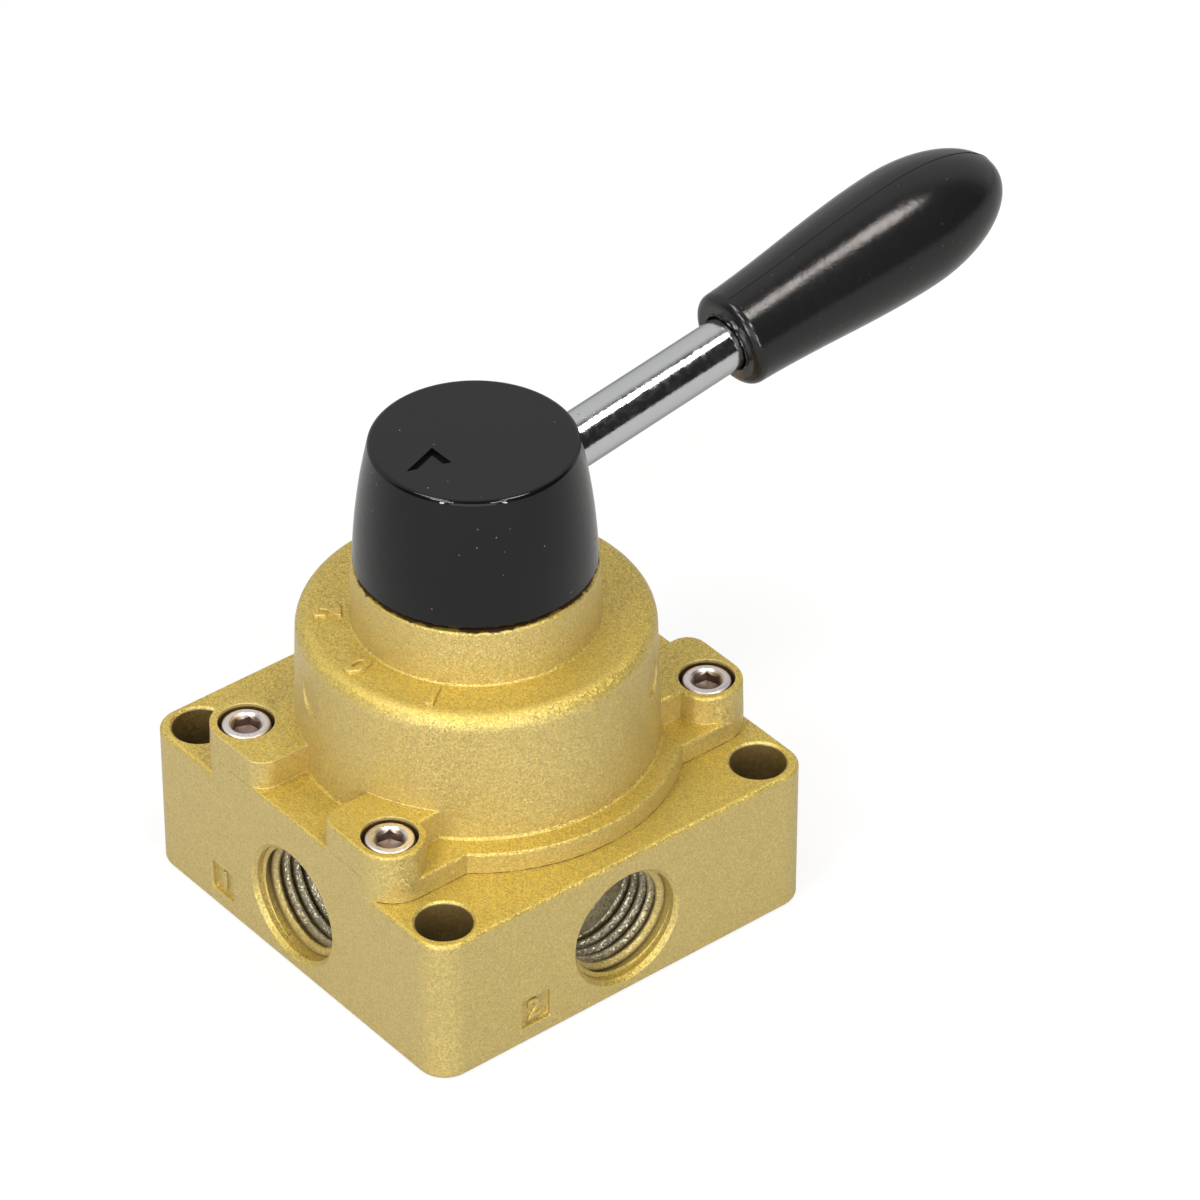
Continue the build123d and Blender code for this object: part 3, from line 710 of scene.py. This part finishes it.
def screw_tree():
    """The given screw on four places, each turned its own way."""
    tree, given, wanted = new_group(
        "cover screws",
        [("Screw", "NodeSocketGeometry", None), ("Pitch X", "NodeSocketFloat", 2 * SCREW_X * MM),
         ("Pitch Y", "NodeSocketFloat", 2 * SCREW_Y * MM),
         ("Seat Height", "NodeSocketFloat", SCREW_SEAT_Z * MM),
         ("Seed", "NodeSocketInt", 3), ("Finish", "NodeSocketMaterial", None)],
        [("Geometry", "NodeSocketGeometry")],
        "GeometryNodeTree",
    )
    places = put(tree, "GeometryNodeMeshGrid",
                 {"Size X": given["Pitch X"], "Size Y": given["Pitch Y"], "Vertices X": 2, "Vertices Y": 2})
    span = {"Min": 0.0, "Max": pi / 3, "Seed": given["Seed"]}
    turn = put(tree, "FunctionNodeRandomValue", span, data_type="FLOAT")
    turned = put(tree, "ShaderNodeCombineXYZ", {2: turn.outputs[1]}).outputs[0]
    screws = put(tree, "GeometryNodeInstanceOnPoints",
                 {"Points": places.outputs[0], "Instance": given["Screw"], "Rotation": turned})
    lift = put(tree, "ShaderNodeCombineXYZ", {2: given["Seat Height"]}).outputs[0]
    lifted = put(tree, "GeometryNodeTransform", {"Geometry": screws.outputs[0], "Translation": lift})
    real = put(tree, "GeometryNodeRealizeInstances", {"Geometry": lifted.outputs[0]})
    dressed = put(tree, "GeometryNodeSetMaterial", {"Geometry": real.outputs[0], "Material": given["Finish"]})
    tree.links.new(dressed.outputs[0], wanted["Geometry"])
    return tree


def fit_screws():
    """The four cover screws with their scalloped sockets."""
    piece = new_piece("cover_screws_detailed", one_screw())
    grown(piece, screw_tree(), screw_finish, {})
    closed(piece, 25)
    seat(piece, "valve")
    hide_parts("cover_screws")


def raised_figure(name, text, centre, right, up, finish, height, raise_by, boldness):
    """A raised figure with rounded strokes, centred on a place of the casting."""
    curve = bpy.data.curves.new(name, "FONT")
    curve.body = text
    curve.align_x = "CENTER"
    curve.size = height * MM / 0.7
    curve.offset = boldness * height * MM
    curve.extrude = raise_by * MM
    curve.bevel_depth = 0.04 * height * MM
    curve.bevel_resolution = 2
    curve.resolution_u = 6
    holder = new_piece(name, curve)
    mesh = bpy.data.meshes.new_from_object(holder.evaluated_get(bpy.context.evaluated_depsgraph_get()))
    bpy.data.objects.remove(holder)
    corners = [vertex.co.copy() for vertex in mesh.vertices]
    middle = Vector([(min(c[i] for c in corners) + max(c[i] for c in corners)) / 2 for i in range(3)])
    out = right.cross(up)
    turned = Matrix((right, up, out)).transposed().to_4x4()
    mesh.transform(Matrix.Translation(centre * MM) @ turned @ Matrix.Translation(-middle))
    piece = new_piece(name, mesh)
    coat(piece, finish)
    closed(piece, 40)
    seat(piece, "valve")


FIGURE_RING_R = 15.6
POSITION_FIGURE = {"height": 2.7, "raise_by": 0.3, "boldness": 0.045}
PORT_FIGURE = {"height": 2.3, "raise_by": 0.24, "boldness": 0.012}
POSITION_ANGLES = {"0": 180.0, "1": -144.7, "2": 142.9}
PORT_ANGLES = {"1": 180, "2": 270, "3": 0, "4": 90}


def cast_figures():
    """Position figures on the cover's shoulder and a port figure in each side's pocket."""
    for text, angle in POSITION_ANGLES.items():
        outward = Vector((cos(radians(angle)), sin(radians(angle)), 0))
        right = outward.cross(Vector((0, 0, 1)))
        centre = outward * FIGURE_RING_R + Vector((0, 0, SHOULDER_Z))
        raised_figure(f"position_figure_{text}", text, centre, right, outward, cover_paint, **POSITION_FIGURE)
    for text, angle in PORT_ANGLES.items():
        outward = Vector((cos(radians(angle)), sin(radians(angle)), 0))
        right = Vector((-outward.y, outward.x, 0))
        centre = outward * (BODY_HALF - MARK_DEPTH) + right * MARK_ACROSS + Vector((0, 0, MARK_HEIGHT))
        upright = Vector((0, 0, 1))
        raised_figure(f"port_figure_{text}", text, centre, right, upright, body_paint, **PORT_FIGURE)


def fair_lugs():
    """The casting's draft on each lug: a thin wedge from the lug's wall out to the flange's edge below."""
    steps, first_angle, sweep = 28, 2, 118
    wedge_top, flange_r = LUG_TOP - LUG_EDGE_R, LUG_R + FLANGE_MARGIN
    buried, foot_buried, thickness = 0.02, 0.1, 0.8
    shape = bmesh.new()
    for x_side in (-1, 1):
        for y_side in (-1, 1):
            rows = []
            for step in range(steps + 1):
                angle = radians(first_angle + sweep * step / steps)
                towards = Vector((x_side * cos(angle), y_side * sin(angle), 0))
                lug = Vector((x_side * SCREW_X, y_side * SCREW_Y, 0)) + towards * LUG_R
                foot = Vector((x_side * (SCREW_X - FLANGE_MARGIN), y_side * SCREW_Y, 0)) + towards * flange_r
                past = max(0.0, (angle - pi / 2) / radians(30))
                inner = lug - towards * thickness
                foot = foot.lerp(lug - towards * foot_buried, past)
                top = lug - towards * buried
                corners = [foot + Vector((0, 0, FLANGE_SIDE_TOP)), top + Vector((0, 0, wedge_top)),
                           inner + Vector((0, 0, wedge_top)), inner + Vector((0, 0, FLANGE_SIDE_TOP))]
                rows.append([shape.verts.new(corner * MM) for corner in corners])
            for row, following in zip(rows, rows[1:]):
                for side in range(4):
                    after = (side + 1) % 4
                    shape.faces.new((row[side], following[side], following[after], row[after]))
            shape.faces.new(rows[0])
            shape.faces.new(rows[-1])
    mesh = bpy.data.meshes.new("lug_draft")
    shape.to_mesh(mesh)
    shape.free()
    piece = new_piece("lug_draft", mesh)
    coat(piece, cover_paint)
    seat(closed(piece, 40), "valve")


def grip_radius(along):
    """The grip's radius at a distance along the lever's line."""
    if along <= GRIP_BELLY:
        third = (GRIP_BELLY - GRIP_START) / 3
        t = (along - GRIP_START) / (GRIP_BELLY - GRIP_START)
        weights = ((1 - t) ** 3, 3 * (1 - t) ** 2 * t, 3 * (1 - t) * t ** 2, t ** 3)
        radii = (GRIP_FACE_R, GRIP_FACE_R + third * GRIP_SLOPE, GRIP_BELLY_R, GRIP_BELLY_R)
        return sum(weight * radius for weight, radius in zip(weights, radii))
    past = (along - GRIP_BELLY) / (GRIP_END - GRIP_BELLY)
    return GRIP_BELLY_R * sqrt(max(0.0, 1 - past ** 2))


def ridge_tree():
    """A thin uneven ridge along the given line."""
    tree, given, wanted = new_group(
        "moulded ridge",
        [("Line", "NodeSocketGeometry", None), ("Ridge Radius", "NodeSocketFloat", 0.08 * MM),
         ("Uneven", "NodeSocketFloat", 0.6), ("Wander", "NodeSocketFloat", 0.0),
         ("Finish", "NodeSocketMaterial", None)],
        [("Geometry", "NodeSocketGeometry")],
        "GeometryNodeTree",
    )
    line = put(tree, "GeometryNodeMeshToCurve", {"Mesh": given["Line"]})
    spot = put(tree, "GeometryNodeInputPosition").outputs[0]
    large = put(tree, "ShaderNodeVectorMath", {0: spot, "Scale": 1 / MM}, operation="SCALE").outputs[0]
    drift = put(tree, "ShaderNodeTexNoise", {"Vector": large, "Scale": 0.9, "Detail": 3.0})
    centred = vectors(tree, "SUBTRACT", drift.outputs["Color"], (0.5, 0.5, 0.5))
    step = put(tree, "ShaderNodeVectorMath", {0: centred, "Scale": given["Wander"]}, operation="SCALE")
    moved = {"Geometry": line.outputs[0], "Offset": step.outputs[0]}
    wandering = put(tree, "GeometryNodeSetPosition", moved)
    round_profile = {"Resolution": 8, "Radius": given["Ridge Radius"]}
    profile = put(tree, "GeometryNodeCurvePrimitiveCircle", round_profile)
    rough = maths(tree, "SUBTRACT", noise(tree, large, 1.7, 3.0), 0.5)
    size = maths(tree, "MULTIPLY_ADD", rough, maths(tree, "MULTIPLY", given["Uneven"], 3.0), 1.0)
    size = maths(tree, "MAXIMUM", size, 0.15)
    ridge = put(tree, "GeometryNodeCurveToMesh",
                {"Curve": wandering.outputs[0], "Profile Curve": profile.outputs[0], "Scale": size,
                 "Fill Caps": True})
    finished = {"Geometry": ridge.outputs[0], "Material": given["Finish"]}
    dressed = put(tree, "GeometryNodeSetMaterial", finished)
    tree.links.new(dressed.outputs[0], wanted["Geometry"])
    return tree


def line_mesh(name, points, ring=False):
    """A mesh of edges only, through points in millimetres."""
    mesh = bpy.data.meshes.new(name)
    edges = [(i, i + 1) for i in range(len(points) - 1)]
    if ring:
        edges.append((len(points) - 1, 0))
    mesh.from_pydata([tuple(point * MM) for point in points], edges, [])
    return mesh


def mould_grip_ridges():
    """The mould's seam along the grip and the flash round its mouth."""
    tree = ridge_tree()
    steps, ring_steps = 90, 96
    seam_r, flash_r, flash_wander = 0.07, 0.14, 0.2
    first = GRIP_START + GRIP_LIP_R
    upper = []
    for step in range(steps + 1):
        share = sin(pi / 2 * step / steps)
        along = first + (GRIP_END - first) * share
        upper.append(LEVER_FOOT + LEVER_ALONG * along + LEVER_UP * grip_radius(along))
    lower = [point - 2 * LEVER_UP * (point - LEVER_FOOT).dot(LEVER_UP) for point in reversed(upper[:-1])]
    seam = new_piece("grip_seam", line_mesh("grip_seam", upper + lower))
    grown(seam, tree, grip_finish, {"Ridge Radius": seam_r * MM, "Uneven": 0.5})
    seat(closed(seam), "lever")
    across = Vector((0, 1, 0))
    ring = []
    for step in range(ring_steps):
        angle = 2 * pi * step / ring_steps
        outward = across * cos(angle) + LEVER_UP * sin(angle)
        ring.append(LEVER_FOOT + LEVER_ALONG * (GRIP_START + 0.02) + outward * (MOUTH_R + 0.16))
    flash = new_piece("grip_mouth_flash", line_mesh("grip_mouth_flash", ring, ring=True))
    grown(flash, tree, grip_finish,
          {"Ridge Radius": flash_r * MM, "Uneven": 0.8, "Wander": flash_wander * MM})
    seat(closed(flash), "lever")


cut_threads()
fit_screws()
cast_figures()
fair_lugs()
mould_grip_ridges()


# Table, light and camera

TABLE_R, TABLE_DROP = 3.0, 0.05
TABLE_BOUNCE, TABLE_SEEN = 0.45, 0.85
GLOW_MIRRORED, GLOW_SEEN = 0.25, 0.8
ROOM_BEHIND = (0.45, 0.89, 0.0)
ROOM_DIM, ROOM_BRIGHT = 0.025, 0.74
WARM = (1.0, 0.94, 0.88)


def white_table():
    """A wide white table that keeps a soft shadow and looks white to the camera."""
    bpy.ops.mesh.primitive_circle_add(vertices=64, radius=TABLE_R, fill_type="NGON")
    table = bpy.context.object
    table.name = "table"
    table.location.z = -TABLE_DROP * MM
    material = bpy.data.materials.new("white table")
    material.use_nodes = True
    tree = material.node_tree
    tree.nodes.clear()
    path = put(tree, "ShaderNodeLightPath")
    whiteness = ramp(tree, path.outputs["Is Camera Ray"], 0.0, 1.0, TABLE_BOUNCE, TABLE_SEEN)
    lit = put(tree, "ShaderNodeBsdfDiffuse", {"Color": whiteness})
    glow = put(tree, "ShaderNodeEmission", {"Color": (1, 1, 1, 1), "Strength": 1.0})
    mirrored = maths(tree, "MAXIMUM", path.outputs["Is Glossy Ray"], path.outputs["Is Transmission Ray"])
    share = maths(tree, "MAXIMUM", maths(tree, "MULTIPLY", mirrored, GLOW_MIRRORED),
                  maths(tree, "MULTIPLY", path.outputs["Is Camera Ray"], GLOW_SEEN))
    mixed = put(tree, "ShaderNodeMixShader", {0: share, 1: lit.outputs[0], 2: glow.outputs[0]})
    put(tree, "ShaderNodeOutputMaterial", {"Surface": mixed.outputs[0]})
    table.data.materials.append(material)


def soft_box(name, azimuth, elevation, away, width, height, power, colour=(1.0, 1.0, 1.0)):
    """An area lamp that looks at the middle of the valve."""
    lamp = bpy.data.lights.new(name, "AREA")
    lamp.shape = "RECTANGLE"
    lamp.size, lamp.size_y, lamp.energy = width, height, power
    lamp.color = colour
    holder = bpy.data.objects.new(name, lamp)
    outward = Vector((cos(radians(azimuth)) * cos(radians(elevation)),
                      sin(radians(azimuth)) * cos(radians(elevation)), sin(radians(elevation))))
    holder.location = Vector((0, 0, 0.03)) + outward * away
    holder.rotation_euler = outward.to_track_quat("Z", "Y").to_euler()
    bpy.context.scene.collection.objects.link(holder)


def studio_walls():
    """A room that is white behind the valve and dim on the photographer's side."""
    world = bpy.data.worlds.new("studio")
    bpy.context.scene.world = world
    world.use_nodes = True
    tree = world.node_tree
    tree.nodes.clear()
    look = put(tree, "ShaderNodeTexCoord").outputs["Generated"]
    towards = put(tree, "ShaderNodeVectorMath", {0: look, 1: ROOM_BEHIND}, operation="DOT_PRODUCT")
    back_share = ramp(tree, towards.outputs["Value"], 0.0, 0.4)
    dim, bright = (ROOM_DIM,) * 3 + (1,), (ROOM_BRIGHT,) * 3 + (1,)
    room = blend_colours(tree, back_share, dim, bright)
    path = put(tree, "ShaderNodeLightPath")
    shown = blend_colours(tree, path.outputs["Is Camera Ray"], room, (1, 1, 1, 1))
    sky = put(tree, "ShaderNodeBackground", {"Color": shown, "Strength": 1.0})
    put(tree, "ShaderNodeOutputWorld", {"Surface": sky.outputs[0]})


CAMERA_TURN = -39.12
CAMERA_RISE = 36.817
CAMERA_DISTANCE = 693.89 * MM
CAMERA_LENS = 199.04
LOOK_AT = Vector((0, 0, 30 * MM))
AIM_RIGHT = 12.888 * MM
AIM_UP = 5.231 * MM


def stand_camera():
    """The camera where the photographer stood."""
    turn, rise = radians(CAMERA_TURN), radians(CAMERA_RISE)
    right = Vector((cos(turn), sin(turn), 0))
    back = Vector((sin(turn) * cos(rise), -cos(turn) * cos(rise), sin(rise)))
    up = back.cross(right)
    data = bpy.data.cameras.new("camera")
    data.lens = CAMERA_LENS
    data.sensor_width = 36
    data.clip_start, data.clip_end = 0.01, 20
    camera = bpy.data.objects.new("camera", data)
    place = LOOK_AT + AIM_RIGHT * right + AIM_UP * up + CAMERA_DISTANCE * back
    turned = Matrix((right, up, back)).transposed().to_4x4()
    camera.matrix_world = Matrix.Translation(place) @ turned
    bpy.context.scene.collection.objects.link(camera)
    bpy.context.scene.camera = camera


white_table()
studio_walls()
soft_box("overhead right", -50, 68, 1.0, 0.22, 0.26, 3.4, WARM)
soft_box("overhead left", 150, 68, 1.0, 0.3, 0.3, 3.2, WARM)
soft_box("front left", -167, 50, 1.0, 0.32, 0.12, 3.4)
soft_box("front right", -99, 50, 1.0, 0.24, 0.12, 2.3)
soft_box("low strip left", -160, 14, 1.0, 0.07, 0.48, 3.4)
soft_box("low strip right", -98, 14, 1.0, 0.06, 0.48, 2.8)
soft_box("front fill", -129, 20, 1.2, 1.0, 0.7, 4.6)
stand_camera()
bpy.context.scene.view_settings.view_transform = "Standard"
